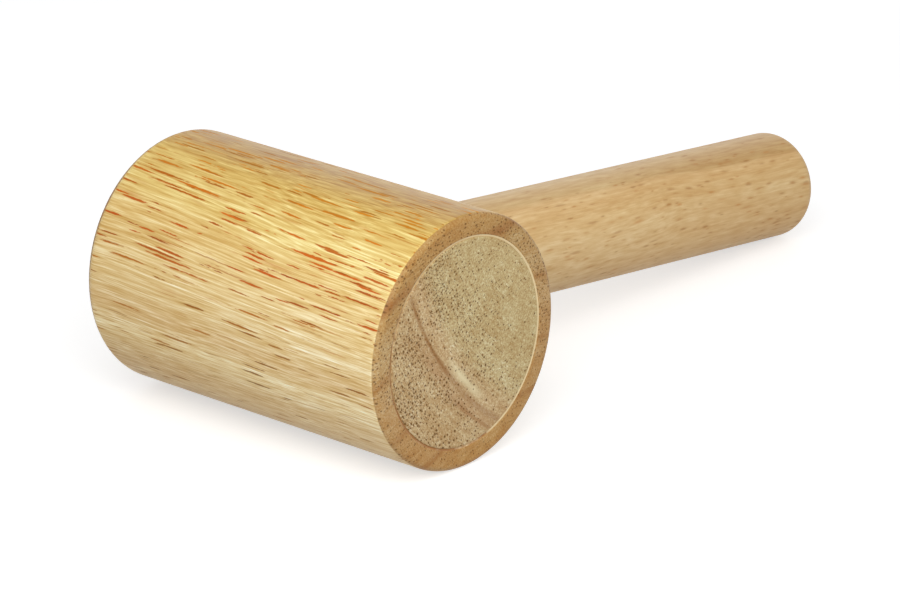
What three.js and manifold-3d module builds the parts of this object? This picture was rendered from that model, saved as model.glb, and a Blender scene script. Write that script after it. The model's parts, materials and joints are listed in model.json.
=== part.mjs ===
// Hammer shaker: a wooden percussion shaker shaped like a small mallet.
// Its head is a turned barrel, bored through, with a disc let into each mouth and loose steel shot inside.
// Its handle is a plain dowel, seated in a socket bored across the barrel's wall.
// It lies as it does on a table, on the barrel's lowest line and on the rim of the handle's free end.
// Millimetres. +X runs along the head to its front, +Y to the handle's free end, and +Z is up.

import * as THREE from 'three';
import { mergeVertices } from 'three/addons/utils/BufferGeometryUtils.js';
import Module from 'manifold-3d';

// Head
const headDiameter = 60;
const headLength = 92;
const frontEdgeRounding = 1.5;
const rearEdgeRounding = 3;

// Wall round the head's chamber, and the discs that close it on a shoulder in each mouth
const wallThickness = 7.5;
const capSeatWidth = 2;
const capThickness = 8;
const capEdgeRounding = 0.3;
const capBackChamfer = 0.8;
const mouthChamfer = 0.5;

// Handle, whose reach is measured from the head's axis to its free end
const handleDiameter = 26.5;
const handleReach = 172.5;
const handleEndRounding = 4;
const handleFootChamfer = 0.8;
const handleFootMargin = 0.7;
const handleSetBack = 2;

// Loose shot
const shotDiameter = 4.5;
const shotRows = 7;
const shotPerRow = 6;
const shotFootClearance = 0.5;

// Gap between a piece and its seat
const seatGap = 0.3;

// Facets round a full turn, and steps in a rounded edge
const headFacets = 96;
const handleFacets = 64;
const edgeSteps = 4;
const shotDetail = 1;

const headRadius = headDiameter / 2;
const headHalf = headLength / 2;
const chamberRadius = headRadius - wallThickness;
const capRadius = chamberRadius + capSeatWidth;
const mouthRadius = capRadius + seatGap;
const capInnerX = headHalf - capThickness;
const shoulderX = capInnerX - seatGap;
const handleRadius = handleDiameter / 2;
const socketRadius = handleRadius + seatGap;
const shotRadius = shotDiameter / 2;

// The dowel's foot passes the wall's innermost line at the socket, so the whole wall holds it.
const handleFoot = Math.sqrt(chamberRadius ** 2 - handleRadius ** 2) - handleFootMargin;

const wasm = await Module();
wasm.setup();

const barrelWood = new THREE.MeshStandardMaterial({ color: 0xe0c48f, roughness: 0.5, metalness: 0 });
const capWood = new THREE.MeshStandardMaterial({ color: 0xbfa577, roughness: 0.65, metalness: 0 });
const handleWood = new THREE.MeshStandardMaterial({ color: 0xd6b585, roughness: 0.5, metalness: 0 });
const shotSteel = new THREE.MeshStandardMaterial({ color: 0xb8bcc2, roughness: 0.25, metalness: 1 });

// Points of a rounded edge on a profile, from one angle to another round its centre, in degrees.
function roundedEdge(centreRadius, centreAlong, rounding, fromAngle, toAngle) {
  const points = [];
  for (let step = 0; step <= edgeSteps; step += 1) {
    const angle = THREE.MathUtils.degToRad(THREE.MathUtils.lerp(fromAngle, toAngle, step / edgeSteps));
    const radius = centreRadius + rounding * Math.cos(angle);
    const along = centreAlong + rounding * Math.sin(angle);
    points.push(new THREE.Vector2(radius, along));
  }
  return points;
}

// A profile turned about the head's axis. It gives radius and distance along +X.
function turnedAlongHead(profile) {
  const geometry = new THREE.LatheGeometry(profile, headFacets);
  geometry.rotateZ(-Math.PI / 2);
  return geometry;
}

function toSolid(geometry) {
  const bare = geometry.clone();
  bare.deleteAttribute('normal');
  bare.deleteAttribute('uv');
  const merged = mergeVertices(bare);
  const vertProperties = new Float32Array(merged.attributes.position.array);
  const triVerts = new Uint32Array(merged.index.array);
  return new wasm.Manifold(new wasm.Mesh({ numProp: 3, vertProperties, triVerts }));
}

function toGeometry(solid) {
  const mesh = solid.getMesh();
  const geometry = new THREE.BufferGeometry();
  geometry.setAttribute('position', new THREE.BufferAttribute(mesh.vertProperties, 3));
  geometry.setIndex(new THREE.BufferAttribute(mesh.triVerts, 1));
  geometry.computeVertexNormals();
  return geometry;
}

function namedMesh(name, geometry, material) {
  const mesh = new THREE.Mesh(geometry, material.clone());
  mesh.name = name;
  return mesh;
}

// The droop at which the barrel's lowest line and the handle's rounded rim touch one level surface.
function restingDroop() {
  const rimAlong = handleReach - handleEndRounding;
  const rimOut = handleRadius - handleEndRounding;
  const rimAngle = Math.atan2(rimOut, rimAlong);
  return Math.asin((headRadius - handleEndRounding) / Math.hypot(rimAlong, rimOut)) - rimAngle;
}

// The barrel before its socket is bored: rounded outer edges, and a rebate with a shoulder in each mouth.
function barrelGeometry() {
  const rear = rearEdgeRounding;
  const front = frontEdgeRounding;
  const rearEdge = roundedEdge(headRadius - rear, -headHalf + rear, rear, -90, 0);
  const frontEdge = roundedEdge(headRadius - front, headHalf - front, front, 0, 90);
  const profile = [
    new THREE.Vector2(mouthRadius + mouthChamfer, -headHalf),
    ...rearEdge,
    ...frontEdge,
    new THREE.Vector2(mouthRadius + mouthChamfer, headHalf),
    new THREE.Vector2(mouthRadius, headHalf - mouthChamfer),
    new THREE.Vector2(mouthRadius, shoulderX),
    new THREE.Vector2(chamberRadius, shoulderX),
    new THREE.Vector2(chamberRadius, -shoulderX),
    new THREE.Vector2(mouthRadius, -shoulderX),
    new THREE.Vector2(mouthRadius, -headHalf + mouthChamfer),
    new THREE.Vector2(mouthRadius + mouthChamfer, -headHalf),
  ];
  return turnedAlongHead(profile);
}

// The cutter for the handle's socket reaches from the chamber's middle to past the barrel's outside.
function socketCutter(droop) {
  const reach = headDiameter;
  const cutter = new THREE.CylinderGeometry(socketRadius, socketRadius, reach, handleFacets);
  cutter.translate(0, reach / 2, 0);
  cutter.rotateX(-droop);
  cutter.translate(-handleSetBack, 0, 0);
  return cutter;
}

function headShell(droop) {
  const bored = toSolid(barrelGeometry()).subtract(toSolid(socketCutter(droop)));
  return namedMesh('head_shell', toGeometry(bored), barrelWood);
}

// A disc for the front mouth, seated against its shoulder with its outer face flush with the barrel's end.
function capGeometry() {
  const ease = capEdgeRounding;
  const outerEdge = roundedEdge(capRadius - ease, headHalf - ease, ease, 0, 90);
  const profile = [
    new THREE.Vector2(0, capInnerX),
    new THREE.Vector2(capRadius - capBackChamfer, capInnerX),
    new THREE.Vector2(capRadius, capInnerX + capBackChamfer),
    ...outerEdge,
    new THREE.Vector2(0, headHalf),
  ];
  return turnedAlongHead(profile);
}

function frontCap() {
  return namedMesh('front_cap', capGeometry(), capWood);
}

function rearCap() {
  const cap = namedMesh('rear_cap', capGeometry(), capWood);
  cap.rotation.z = Math.PI;
  return cap;
}

// The dowel, turned along its own length, drooping from the head's axis to the table.
function handle(droop) {
  const rounding = handleEndRounding;
  const rim = roundedEdge(handleRadius - rounding, handleReach - rounding, rounding, 0, 90);
  const profile = [
    new THREE.Vector2(0, handleFoot),
    new THREE.Vector2(handleRadius - handleFootChamfer, handleFoot),
    new THREE.Vector2(handleRadius, handleFoot + handleFootChamfer),
    ...rim,
    new THREE.Vector2(0, handleReach),
  ];
  const dowel = namedMesh('handle', new THREE.LatheGeometry(profile, handleFacets), handleWood);
  dowel.rotation.x = -droop;
  dowel.position.x = -handleSetBack;
  return dowel;
}

// Where a row of shot lies at rest, as a share of its free travel: an even scatter of the rows.
function restShare(row) {
  const goldenShare = (Math.sqrt(5) - 1) / 2;
  return ((row + 0.5) * goldenShare) % 1;
}

// The furthest a row of shot can lie round the chamber's wall towards the handle, in radians from its
// lowest line, before its balls would touch the lower corner of the handle's foot.
function shotLimitAngle(laneRadius, droop) {
  const cornerY = handleFoot * Math.cos(droop) - handleRadius * Math.sin(droop);
  const cornerDepth = handleFoot * Math.sin(droop) + handleRadius * Math.cos(droop);
  const cornerRadius = Math.hypot(cornerY, cornerDepth);
  const reach = shotRadius + shotFootClearance;
  const cosine = (laneRadius ** 2 + cornerRadius ** 2 - reach ** 2) / (2 * laneRadius * cornerRadius);
  return Math.atan2(cornerY, cornerDepth) - Math.acos(cosine);
}

// Rows of shot lie side by side on the chamber's wall, evenly about its lowest line, or further from the
// handle where its foot leaves no room. Each row is a train of balls that runs from one disc to the other.
function looseShot(droop) {
  const shot = new THREE.Group();
  const laneRadius = chamberRadius - seatGap - shotRadius;
  const pitch = shotDiameter + seatGap;
  const laneAngle = 2 * Math.asin(pitch / 2 / laneRadius);
  const halfFan = (shotRows - 1) / 2 * laneAngle;
  const fanMiddle = Math.min(0, shotLimitAngle(laneRadius, droop) - halfFan);
  const rearStop = -capInnerX + seatGap;
  const travel = -2 * rearStop - (shotPerRow * pitch - seatGap);
  for (let row = 0; row < shotRows; row += 1) {
    const angle = fanMiddle - halfFan + row * laneAngle;
    const rowStart = rearStop + restShare(row) * travel;
    for (let ball = 0; ball < shotPerRow; ball += 1) {
      const sphere = new THREE.IcosahedronGeometry(shotRadius, shotDetail);
      const name = `shot_row${row + 1}_ball${ball + 1}`;
      const mesh = namedMesh(name, sphere, shotSteel);
      const x = rowStart + shotRadius + ball * pitch;
      mesh.position.set(x, laneRadius * Math.sin(angle), -laneRadius * Math.cos(angle));
      shot.add(mesh);
    }
  }
  return shot;
}

function hammerShaker() {
  const droop = restingDroop();
  const shaker = new THREE.Group();
  shaker.add(headShell(droop), frontCap(), rearCap(), handle(droop), looseShot(droop));
  const box = new THREE.Box3().setFromObject(shaker, true);
  const middle = box.getCenter(new THREE.Vector3());
  shaker.position.set(-middle.x, -middle.y, -box.min.z);
  const part = new THREE.Group();
  part.add(shaker);
  return part;
}

export default hammerShaker();
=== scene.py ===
"""A hammer shaker dressed for its picture: turned pale hardwood, end-grain discs and loose steel shot.

Lengths are metres in the part's own frame, and names that end in _mm hold millimetres.
"""

import json
import logging
import math
from collections.abc import Mapping, Sequence
from dataclasses import dataclass
from enum import Enum

import bmesh
import bpy
import numpy as np
from mathutils import Matrix, Vector


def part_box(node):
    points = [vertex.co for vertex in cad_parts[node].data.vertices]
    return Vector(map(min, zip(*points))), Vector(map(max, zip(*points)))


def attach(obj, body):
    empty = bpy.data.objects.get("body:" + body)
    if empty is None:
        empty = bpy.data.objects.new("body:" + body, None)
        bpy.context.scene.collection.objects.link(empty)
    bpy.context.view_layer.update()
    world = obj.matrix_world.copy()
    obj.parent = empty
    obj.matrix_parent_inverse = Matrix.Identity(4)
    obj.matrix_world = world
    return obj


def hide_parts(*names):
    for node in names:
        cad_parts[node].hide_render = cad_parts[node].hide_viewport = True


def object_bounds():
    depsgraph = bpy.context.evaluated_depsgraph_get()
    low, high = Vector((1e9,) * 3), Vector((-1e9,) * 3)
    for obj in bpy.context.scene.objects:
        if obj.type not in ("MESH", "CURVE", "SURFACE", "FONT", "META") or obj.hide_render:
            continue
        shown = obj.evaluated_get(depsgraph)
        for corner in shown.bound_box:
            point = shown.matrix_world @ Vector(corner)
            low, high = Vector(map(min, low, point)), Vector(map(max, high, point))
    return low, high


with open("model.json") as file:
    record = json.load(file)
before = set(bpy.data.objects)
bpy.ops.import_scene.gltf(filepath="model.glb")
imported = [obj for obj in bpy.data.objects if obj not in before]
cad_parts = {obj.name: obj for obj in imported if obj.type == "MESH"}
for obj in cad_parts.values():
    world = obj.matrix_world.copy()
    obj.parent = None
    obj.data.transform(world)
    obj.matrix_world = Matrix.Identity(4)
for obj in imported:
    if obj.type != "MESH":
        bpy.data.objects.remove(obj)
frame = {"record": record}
CAD_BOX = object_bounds()
MM = 0.001
WOOD_BODY = "hammer"
LOG = logging.getLogger("hammer_shaker")
Socket = bpy.types.NodeSocket
Input = Socket | float | Sequence[float]
Inputs = Mapping[str | int, Input] | Sequence[Input]
Tones = tuple[tuple[float, str], ...]


def tone(code: str) -> tuple[float, float, float, float]:
    """Gives the linear colour of a six-digit hex code.

    Args:
        code: The colour as it shows on a screen, such as "E6C48E".

    Returns:
        Linear red, green and blue, and an alpha of 1.
    """
    shown = [int(code[at:at + 2], 16) / 255 for at in (0, 2, 4)]
    linear = (level / 12.92 if level <= 0.04045 else ((level + 0.055) / 1.055) ** 2.4 for level in shown)
    return *linear, 1.0


def node_box(name: str) -> tuple[np.ndarray, np.ndarray]:
    """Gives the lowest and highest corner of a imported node."""
    low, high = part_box(name)
    return np.array(low), np.array(high)


def unit(vector: np.ndarray) -> np.ndarray:
    """Gives a vector's direction, as a vector of length 1."""
    return vector / np.linalg.norm(vector)


@dataclass(frozen=True)
class Corner:
    """A square corner of a profile, or, where it isn't rounded, any place that the profile runs through.

    It is placed where its sides would meet. Its steps are those of the straight stretch that leads to it,
    and of its rounding.
    """

    along: float
    radius: float
    steps: int
    rounding: float = 0.0
    rounding_steps: int = 0


def outline(start: Sequence[float], corners: Sequence[Corner], closed: bool = False) -> np.ndarray:
    """Draws a profile from corner to corner.

    A rounding's point at angle a, from 0 to 90 degrees, is its centre, plus its radius times the sine of a
    along the way in, less its radius times the cosine of a along the way out.

    Args:
        start: Where it starts, as distance along the axis and radius.
        corners: The corners that it runs through.
        closed: Whether the last corner leads back to the start. If not, it ends there unrounded.

    Returns:
        Distances along the axis and radii, one row a point.
    """
    at = np.asarray(start, float)
    places = [np.array((corner.along, corner.radius)) for corner in corners]
    points = []
    for corner, place, following in zip(corners, places, places[1:] + places[:1]):
        inward, outward = corner.rounding * unit(place - at), corner.rounding * unit(following - place)
        share = np.arange(corner.steps)[:, None] / corner.steps
        points.append(at * (1 - share) + (place - inward) * share)
        angle = math.pi / 2 * np.arange(corner.rounding_steps)[:, None] / max(corner.rounding_steps, 1)
        points.append(place - inward + outward + np.sin(angle) * inward - np.cos(angle) * outward)
        at = place + outward
    return np.concatenate(points if closed else [*points, [places[-1]]])


def linked(name: str, data: bpy.types.ID) -> bpy.types.Object:
    """Makes an object at the origin and puts it in the scene.

    Args:
        name: Its name.
        data: Its mesh, light or camera.

    Returns:
        The object.
    """
    made = bpy.data.objects.new(name, data)
    bpy.context.scene.collection.objects.link(made)
    return made


def seen_from(azimuth_deg: float, elevation_deg: float) -> Vector:
    """Gives the way from the object to whoever sees it at these angles.

    Args:
        azimuth_deg: Angle round the object, from the side away from the handle towards the head's front.
        elevation_deg: Angle above the floor.

    Returns:
        The direction.
    """
    azimuth, elevation = math.radians(azimuth_deg), math.radians(elevation_deg)
    level = math.cos(elevation)
    return Vector((math.sin(azimuth) * level, -math.cos(azimuth) * level, math.sin(elevation)))


@dataclass(frozen=True)
class Axes:
    """A point and three square directions: forward, the handle's way and the rise across both."""

    centre: np.ndarray
    forward: np.ndarray
    handle: np.ndarray
    rise: np.ndarray

    @classmethod
    def of_head(cls) -> "Axes":
        """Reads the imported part.

        Returns:
            The head's middle, its forward direction and the handle's.
        """
        low, high = node_box("head_shell")
        mounts = {mount["name"]: mount for mount in frame["record"]["mounts"]}
        handle = unit(np.array(mounts["handle_end"]["axis"], float))
        forward = np.array([1.0, 0.0, 0.0])
        return cls((low + high) / 2, forward, handle, np.cross(forward, handle))

    def about_handle(self, set_back: float) -> "Axes":
        """Gives axes this far behind the point, whose forward runs along the handle."""
        return Axes(self.centre - set_back * self.forward, self.handle, self.rise, self.forward)

    def rolled(self, angle_deg: float) -> "Axes":
        """Turns the axes about forward.

        Args:
            angle_deg: The angle, from the handle's way to the rise.

        Returns:
            The turned axes.
        """
        cosine, sine = math.cos(math.radians(angle_deg)), math.sin(math.radians(angle_deg))
        handle, rise = cosine * self.handle + sine * self.rise, cosine * self.rise - sine * self.handle
        return Axes(self.centre, self.forward, handle, rise)

    def leaning(self, handle_slope: float, rise_slope: float) -> "Axes":
        """Leans the axes, as grain does that runs out of a piece.

        Args:
            handle_slope: How far forward moves towards the handle for each step.
            rise_slope: How far it moves along the rise.

        Returns:
            Square axes about the same point.
        """
        forward = unit(self.forward + handle_slope * self.handle + rise_slope * self.rise)
        rise = unit(np.cross(forward, self.handle))
        return Axes(self.centre, forward, np.cross(rise, forward), rise)

    def place(self, *distances: np.ndarray) -> np.ndarray:
        """Gives the points at these distances forward, the handle's way and along the rise."""
        ways = (self.forward, self.handle, self.rise)
        return self.centre + sum(far[..., None] * way for far, way in zip(distances, ways))

    def turned(self, profile: np.ndarray, turns: int) -> np.ndarray:
        """Turns a profile about the forward direction.

        A point of the surface at turn t is the profile's distance along the axis, with its radius times
        the cosine of t towards the handle and times the sine of t along the rise.

        Args:
            profile: Distances along the axis and radii, one row a point.
            turns: How many steps go round. The first is half a turn away from the handle's side.

        Returns:
            A grid of points, with profile points in rows and turns in columns.
        """
        angle = 2 * math.pi * np.arange(turns) / turns - math.pi
        along, radius = profile[:, :1], profile[:, 1:]
        return self.place(along + 0 * angle, radius * np.cos(angle), radius * np.sin(angle))


class Patchwork:
    """Sews grids of points into one closed, smoothly shaded mesh."""

    SEAM = 2e-6
    SHARP_DEG = 32.0

    def __init__(self) -> None:
        """Starts with no patches."""
        self.points: list[np.ndarray] = []
        self.quads: list[np.ndarray] = []
        self.count = 0

    @classmethod
    def sewn(cls, name: str, points: np.ndarray, round_rows: bool = False) -> bpy.types.Object:
        """Makes a piece of one grid whose columns go round.

        Args:
            name: The object's name.
            points: Rows by columns by three.
            round_rows: Whether the last row joins the first too.

        Returns:
            The piece.
        """
        patches = cls()
        patches.grid(points, round_rows)
        return patches.piece(name)

    def grid(self, points: np.ndarray, round_rows: bool = False, keep: np.ndarray | None = None) -> None:
        """Adds a grid of points as quads, each between two rows and two columns. The columns go round.

        Args:
            points: Rows by columns by three.
            round_rows: Whether the last row joins the first.
            keep: For each quad, whether it is kept. All are, where this is left out.
        """
        rows, columns = points.shape[:2]
        row = np.arange(rows if round_rows else rows - 1)[:, None]
        column = np.arange(columns)[None, :]
        below, beside = (row + 1) % rows * columns, (column + 1) % columns
        row = row * columns
        quads = np.stack([row + column, row + beside, below + beside, below + column], axis=-1) + self.count
        self.quads.append(quads.reshape(-1, 4) if keep is None else quads[keep])
        self.points.append(points.reshape(-1, 3))
        self.count += rows * columns

    def piece(self, name: str) -> bpy.types.Object:
        """Joins the patches where they meet and makes them an object at the origin.

        Args:
            name: The object's name.

        Returns:
            The new object, with its faces pointing out.
        """
        mesh = bpy.data.meshes.new(name)
        mesh.from_pydata(np.concatenate(self.points), [], np.concatenate(self.quads))
        sewn = bmesh.new()
        sewn.from_mesh(mesh)
        bmesh.ops.remove_doubles(sewn, verts=sewn.verts, dist=self.SEAM)
        bmesh.ops.recalc_face_normals(sewn, faces=sewn.faces)
        sewn.to_mesh(mesh)
        sewn.free()
        mesh.shade_smooth()
        mesh.set_sharp_from_angle(angle=math.radians(self.SHARP_DEG))
        return linked(name, mesh)


class NodeSheet:
    """Short calls for the shader nodes that the finishes are made of."""

    def __init__(self, owner: bpy.types.Material | bpy.types.World) -> None:
        """Clears the nodes of a material or world.

        Args:
            owner: The material or world whose nodes are written.
        """
        owner.use_nodes = True
        self.owner = owner
        self.tree = owner.node_tree
        self.tree.nodes.clear()

    @classmethod
    def of_material(cls, name: str) -> "NodeSheet":
        """Starts a new material of that name."""
        return cls(bpy.data.materials.new(name))

    def add(self, kind: str, inputs: Inputs = (), **settings: object) -> bpy.types.Node:
        """Adds a node, sets its options and feeds its inputs.

        Args:
            kind: The node's type, without "ShaderNode".
            inputs: What the inputs get, in their order or by name or number. An output is linked.
            settings: The node's own options by name.

        Returns:
            The node.
        """
        node = self.tree.nodes.new("ShaderNode" + kind)
        for name, value in settings.items():
            setattr(node, name, value)
        for key, value in inputs.items() if isinstance(inputs, dict) else enumerate(inputs):
            if isinstance(value, Socket):
                self.tree.links.new(value, node.inputs[key])
            else:
                node.inputs[key].default_value = value
        return node

    def math(self, operation: str, *values: Input) -> Socket:
        """Gives the result of one arithmetic step on numbers."""
        return self.add("Math", values, operation=operation).outputs[0]

    def times(self, first: Input, second: Input) -> Socket:
        """Gives the product of two numbers."""
        return self.math("MULTIPLY", first, second)

    def vector(self, operation: str, *values: Input, output: str = "Vector") -> Socket:
        """Gives the named output of one arithmetic step on vectors."""
        return self.add("VectorMath", values, operation=operation).outputs[output]

    def dot(self, first: Input, second: Input) -> Socket:
        """Gives the dot product of two vectors."""
        return self.vector("DOT_PRODUCT", first, second, output="Value")

    def split(self, vector: Socket) -> tuple[Socket, Socket, Socket]:
        """Gives a vector's three numbers."""
        return tuple(self.add("SeparateXYZ", (vector,)).outputs)

    def join(self, first: Input, second: Input, third: Input) -> Socket:
        """Gives the vector of three numbers."""
        return self.add("CombineXYZ", (first, second, third)).outputs[0]

    def step(self, value: Input, low: Input, high: Input, bottom: float = 0.0, top: float = 1.0) -> Socket:
        """Gives a smooth step, from bottom where the value is low to top where it is high."""
        inputs = (value, low, high, bottom, top)
        return self.add("MapRange", inputs, interpolation_type="SMOOTHSTEP").outputs[0]

    def mix(self, share: Input, first: Input, second: Input, way: str = "MIX") -> Socket:
        """Gives the first colour with that share of the second laid over it, in the named way."""
        return self.add("Mix", {0: share, 6: first, 7: second}, data_type="RGBA", blend_type=way).outputs[2]

    def noise(
        self, vector: Socket, scale: float, detail: float, roughness: float = 0.5, output: str | int = 0
    ) -> Socket:
        """Gives the level, or another output, of a noise on that vector."""
        inputs = {"Vector": vector, "Scale": scale, "Detail": detail, "Roughness": roughness}
        return self.add("TexNoise", inputs).outputs[output]

    def clouds(self, vector: Socket, scale: float, detail: float, *levels: float) -> Socket:
        """Gives a noise through a smooth step between these levels."""
        return self.step(self.noise(vector, scale, detail), *levels)

    def cells(self, vector: Socket, dimensions: str) -> tuple[Socket, tuple[Socket, Socket, Socket]]:
        """Gives the distance to the nearest of scattered points, one a unit, and its random numbers."""
        node = self.add("TexVoronoi", {"Vector": vector, "Scale": 1.0}, voronoi_dimensions=dimensions)
        return node.outputs["Distance"], self.split(node.outputs["Color"])

    def curve(self, value: Input, points: Sequence[tuple[float, float]]) -> Socket:
        """Reads a smooth curve.

        Args:
            value: The place along it.
            points: The places and heights that it runs through.

        Returns:
            Its height there.
        """
        node = self.add("FloatCurve", {"Value": value})
        line = node.mapping.curves[0]
        for _ in points[2:]:
            line.points.new(1.0, 1.0)
        for point, place in zip(line.points, points):
            point.location = place
        node.mapping.update()
        return node.outputs[0]

    def ramp(self, share: Socket, stops: Tones, smooth: str) -> Socket:
        """Reads a row of colours.

        Args:
            share: The place along it, from 0 to 1.
            stops: Place and hex code of each colour.
            smooth: How the colours run into each other.

        Returns:
            The colour there.
        """
        node = self.add("ValToRGB", (share,))
        node.color_ramp.interpolation = smooth
        elements = node.color_ramp.elements
        for _ in stops[2:]:
            elements.new(1.0)
        for element, (place, code) in zip(elements, stops):
            element.position = place
            element.color = tone(code)
        return node.outputs[0]

    def relief(self, height: Socket, strength: float, depth_mm: float, inward: bool = False) -> Socket:
        """Gives the normal of a surface that the height raises, or sinks where it goes inward."""
        inputs = {"Strength": strength, "Distance": depth_mm * MM, "Height": height}
        return self.add("Bump", inputs, invert=inward).outputs[0]

    def surfaced(self, looks: Inputs) -> bpy.types.Material:
        """Gives the material a surface with these looks, and hands it over."""
        self.add("OutputMaterial", {"Surface": self.add("BsdfPrincipled", looks).outputs[0]})
        return self.owner


@dataclass(frozen=True)
class Vessels:
    """One population of the open vessels that show as dashes along the grain.

    There is one to each spacing across the grain, and the stretch is how many times longer it is than
    wide. Shown times the finish's density is the share of them that lies open, and strength how far
    their tone covers the wood. Softness is the share of the half width over which their edge fades, and
    the shift keeps populations apart.
    """

    spacing_mm: float
    stretch: float
    width_mm: float
    shown: float
    strength: float
    softness: float
    shift: tuple[float, float, float]


@dataclass(frozen=True)
class Pores:
    """One population of vessels cut across, which show as dots on end grain.

    Its sizes and shares are measured as those of the vessels are.
    """

    spacing_mm: float
    width_mm: float
    shown: float
    strength: float
    shift: tuple[float, float, float]


@dataclass(frozen=True)
class Streaks:
    """Lighter and darker streaks: their size out from the pith, round it and along the grain.

    Strength is how many steps of stain a common streak is lighter or darker.
    """

    width_mm: float
    breadth_mm: float
    length_mm: float
    strength: float


@dataclass(frozen=True)
class GrowthRing:
    """A line or band that one year's growth leaves, at its distance from the tree's pith.

    It fades out at this reach from its middle, which is measured round the growth from the point
    straight out from the pith through the piece's own middle.
    """

    radius_mm: float
    width_mm: float
    strength: float
    tone: str
    middle_mm: float = 0.0
    reach_mm: float = 90.0


@dataclass(frozen=True, kw_only=True)
class WoodFinish:
    """Pale hardwood under satin lacquer, with brown vessels along the grain and pores across it.

    Side tones, vessel tones and vessel density run once round the piece from its upper side. The side
    tones are partly the wood's own colour and partly painted light and shade: each side is painted lighter
    or darker where light falls on it differently. End tones and pore density run outwards from the tree's
    pith, over the 60 mm about the piece's middle. A stain is the share of red, green and blue that one
    step of darker wood lets through. The fade is painted shade where light falls off along the piece: two
    places along the grain, and how many steps darker the wood is painted before the first and after the
    second. End grain starts to show where a surface faces along the grain by the first number, and is all
    that shows by the second. Pores thin out between two places round the growth, down to a share of their
    density.
    """

    name: str
    pith_mm: tuple[float, float]
    lean: tuple[float, float] = (0.0, 0.0)
    wander_mm: float
    side_tones_and_shade: Tones
    side_stain: tuple[float, float, float]
    side_streaks: tuple[Streaks, ...]
    fade: tuple[float, float, float, float] = (0.0, 1.0, 0.0, 0.0)
    vessel_tones: Tones
    vessel_density: tuple[tuple[float, float], ...]
    vessels: tuple[Vessels, ...]
    end_tones: Tones
    end_stain: tuple[float, float, float]
    end_streaks: tuple[Streaks, ...]
    pore_density: tuple[tuple[float, float], ...]
    pore_tone: str
    pores: tuple[Pores, ...]
    pores_thin_out: tuple[float, float, float]
    rings: tuple[GrowthRing, ...]
    end_shows: tuple[float, float] = (0.25, 0.45)
    roughness: float

    def material(self, axes: Axes, seed: float) -> bpy.types.Material:
        """Makes the finish for a piece with this middle and grain, shifted along it by the seed."""
        return WoodNodes(self, axes.leaning(*self.lean), seed).write()


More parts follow.
